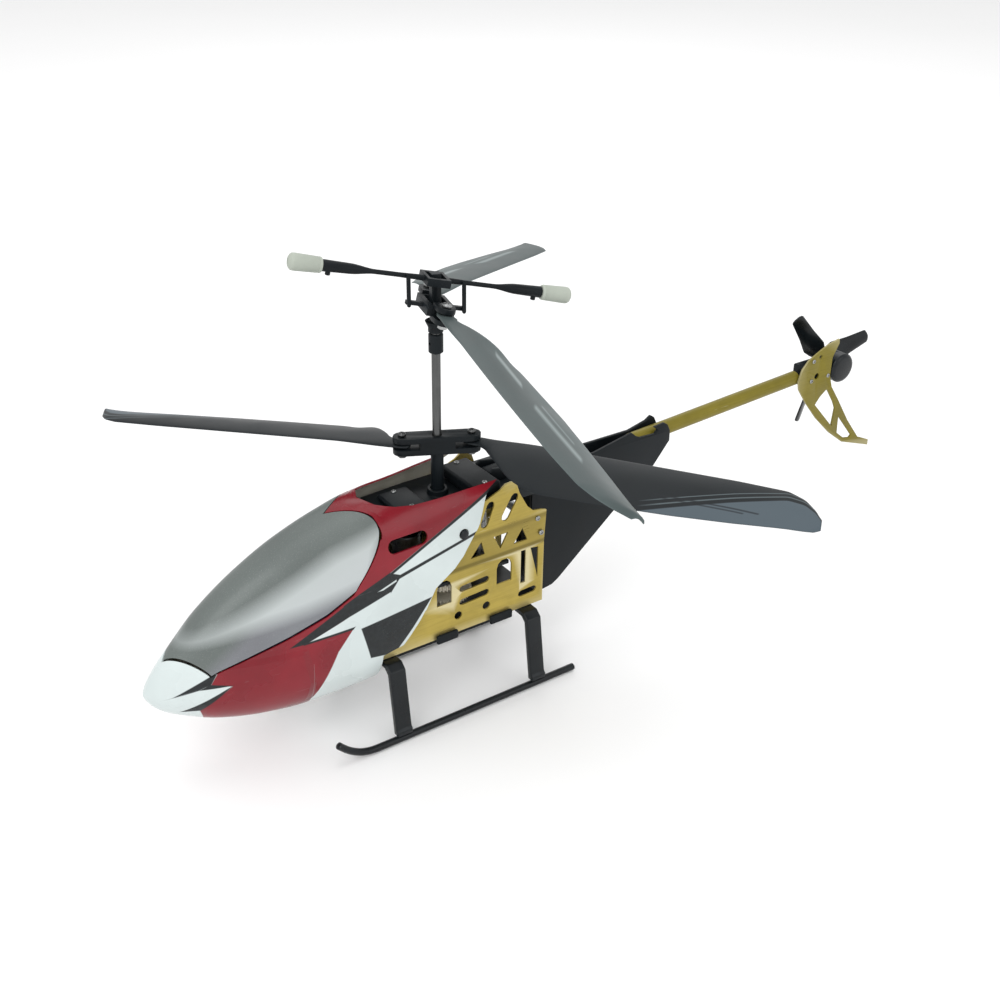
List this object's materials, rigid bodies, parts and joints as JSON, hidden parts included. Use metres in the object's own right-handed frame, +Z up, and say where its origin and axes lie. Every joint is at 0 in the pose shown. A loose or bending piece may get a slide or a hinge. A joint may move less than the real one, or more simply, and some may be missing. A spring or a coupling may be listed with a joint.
{
  "type": "remote control helicopter",
  "caption": "Coaxial toy helicopter: stacked rotors on a shared mast under a weighted flybar, glazed canopy, pierced metal side plates, skid landing gear, tail boom with side propeller.",
  "frame": {"origin": "centre of the bounding box in plan, at the surface the skids stand on; the mast axis stands at x -0.0157 m, y -0.0828 m", "axes": "+Z up along the mast, -Y toward the nose, +X toward the port side"},
  "size_m": [0.3255, 0.4816, 0.2425],
  "materials": {
    "canopy_white": "glossy white shell with red, black and white flashes",
    "screen_grey": "silver-grey tinted windscreen",
    "gold_alloy": "gold anodised alloy",
    "black_plastic": "moulded black plastic",
    "black_gloss": "semi-gloss black plastic",
    "dark_blade": "charcoal blade with a slate-blue band",
    "grey_blade": "slate-grey blade",
    "steel": "plain steel",
    "beige_weight": "beige-grey weight cover",
    "nylon": "natural nylon",
    "battery_wrap": "shrink wrap"
  },
  "bodies": {
    "airframe": {"canopy_shell": "canopy_white", "windscreen": "screen_grey", "frame_plate_port": "gold_alloy", "frame_plate_starboard": "gold_alloy", "bottom_plate": "black_plastic", "motor_plate": "black_plastic", "motor_rear": "steel", "motor_front": "steel", "top_deck": "black_plastic", "deck_box_front": "black_plastic", "deck_box_middle": "black_plastic", "deck_box_rear": "black_plastic", "spacer_rear": "steel", "canopy_post_port": "black_plastic", "canopy_post_starboard": "black_plastic", "battery": "battery_wrap", "tab_front_port": "black_plastic", "tab_front_starboard": "black_plastic", "tab_rear_port": "black_plastic", "tab_rear_starboard": "black_plastic", "skid_port": "black_plastic", "skid_starboard": "black_plastic", "cross_plate_front": "black_plastic", "cross_plate_rear": "black_plastic", "leg_front_port": "black_plastic", "leg_front_starboard": "black_plastic", "leg_rear_port": "black_plastic", "leg_rear_starboard": "black_plastic", "tail_panel_port": "black_plastic", "tail_panel_starboard": "black_plastic", "boom_clamp": "black_plastic", "panel_spacer": "black_plastic", "tail_boom": "gold_alloy", "tail_fin": "gold_alloy", "tail_motor_mount": "black_plastic", "tail_motor": "black_gloss"},
    "lower_rotor": {"outer_shaft": "black_gloss", "gear_lower_rotor": "nylon", "lower_hub": "black_plastic", "lower_screw_a": "steel", "lower_screw_b": "steel"},
    "lower_blade_a": {"lower_blade_a": "dark_blade"},
    "lower_blade_b": {"lower_blade_b": "dark_blade"},
    "upper_rotor": {"inner_shaft": "steel", "gear_upper_rotor": "nylon", "mast_collar": "black_gloss", "head_core": "black_plastic"},
    "blade_holder": {"blade_holder": "black_plastic", "upper_screw_a": "steel", "upper_screw_b": "steel"},
    "upper_blade_a": {"upper_blade_a": "grey_blade"},
    "upper_blade_b": {"upper_blade_b": "grey_blade"},
    "flybar": {"flybar_rod": "black_plastic", "flybar_weight_front": "beige_weight", "flybar_weight_rear": "beige_weight"},
    "link_front": {"flybar_link_front": "black_plastic"},
    "link_rear": {"flybar_link_rear": "black_plastic"},
    "pinion_rear": {"pinion_rear": "steel"},
    "pinion_front": {"pinion_front": "steel"},
    "tail_prop": {"tail_prop": "black_plastic"}
  },
  "joints": [
    {"name": "lower_rotor_spin", "type": "hinge", "parent": "airframe", "child": "lower_rotor", "pos_m": [-0.01568, -0.0828, 0.14175], "axis": [0, 0, 1], "continuous": true},
    {"name": "upper_rotor_spin", "type": "hinge", "parent": "airframe", "child": "upper_rotor", "pos_m": [-0.01568, -0.0828, 0.21135], "axis": [0, 0, 1], "continuous": true},
    {"name": "pinion_rear_spin", "type": "hinge", "parent": "airframe", "child": "pinion_rear", "pos_m": [-0.01568, -0.0636, 0.06835], "axis": [0, 0, 1], "continuous": true},
    {"name": "pinion_front_spin", "type": "hinge", "parent": "airframe", "child": "pinion_front", "pos_m": [-0.01568, -0.102, 0.05935], "axis": [0, 0, 1], "continuous": true},
    {"name": "tail_prop_spin", "type": "hinge", "parent": "airframe", "child": "tail_prop", "pos_m": [-0.02768, 0.2002, 0.11585], "axis": [1, 0, 0], "continuous": true},
    {"name": "flybar_rock", "type": "hinge", "parent": "upper_rotor", "child": "flybar", "pos_m": [-0.01568, -0.0828, 0.22385], "axis": [0.9659, -0.2588, 0], "range_deg": [-9, 35]},
    {"name": "holder_rock", "type": "hinge", "parent": "upper_rotor", "child": "blade_holder", "pos_m": [-0.01568, -0.0828, 0.21135], "axis": [0.9659, -0.2588, 0], "range_deg": [-9, 35]},
    {"name": "link_front_pivot", "type": "hinge", "parent": "flybar", "child": "link_front", "pos_m": [-0.01905, -0.09541, 0.22686], "axis": [0.9659, -0.2588, 0], "range_deg": [-35, 9]},
    {"name": "link_rear_pivot", "type": "hinge", "parent": "flybar", "child": "link_rear", "pos_m": [-0.0123, -0.07019, 0.22084], "axis": [0.9659, -0.2588, 0], "range_deg": [-35, 9]},
    {"name": "lower_fold_a", "type": "hinge", "parent": "lower_rotor", "child": "lower_blade_a", "pos_m": [-0.00821, -0.06775, 0.14175], "axis": [0, 0, 1], "range_deg": [-30, 40]},
    {"name": "lower_fold_b", "type": "hinge", "parent": "lower_rotor", "child": "lower_blade_b", "pos_m": [-0.02314, -0.09785, 0.14175], "axis": [0, 0, 1], "range_deg": [-30, 40]},
    {"name": "upper_fold_a", "type": "hinge", "parent": "blade_holder", "child": "upper_blade_a", "pos_m": [-0.00215, -0.08642, 0.21135], "axis": [0.0582, 0.2173, 0.9744], "range_deg": [-45, 45]},
    {"name": "upper_fold_b", "type": "hinge", "parent": "blade_holder", "child": "upper_blade_b", "pos_m": [-0.0292, -0.07918, 0.21135], "axis": [0.0582, 0.2173, 0.9744], "range_deg": [-10, 85]}
  ],
  "couplings": [
    {"joint": "pinion_rear_spin", "follows": "lower_rotor_spin", "ratio": -5.4},
    {"joint": "pinion_front_spin", "follows": "upper_rotor_spin", "ratio": -5.4},
    {"joint": "holder_rock", "follows": "flybar_rock", "ratio": 1},
    {"joint": "link_front_pivot", "follows": "flybar_rock", "ratio": -1},
    {"joint": "link_rear_pivot", "follows": "flybar_rock", "ratio": -1}
  ]
}
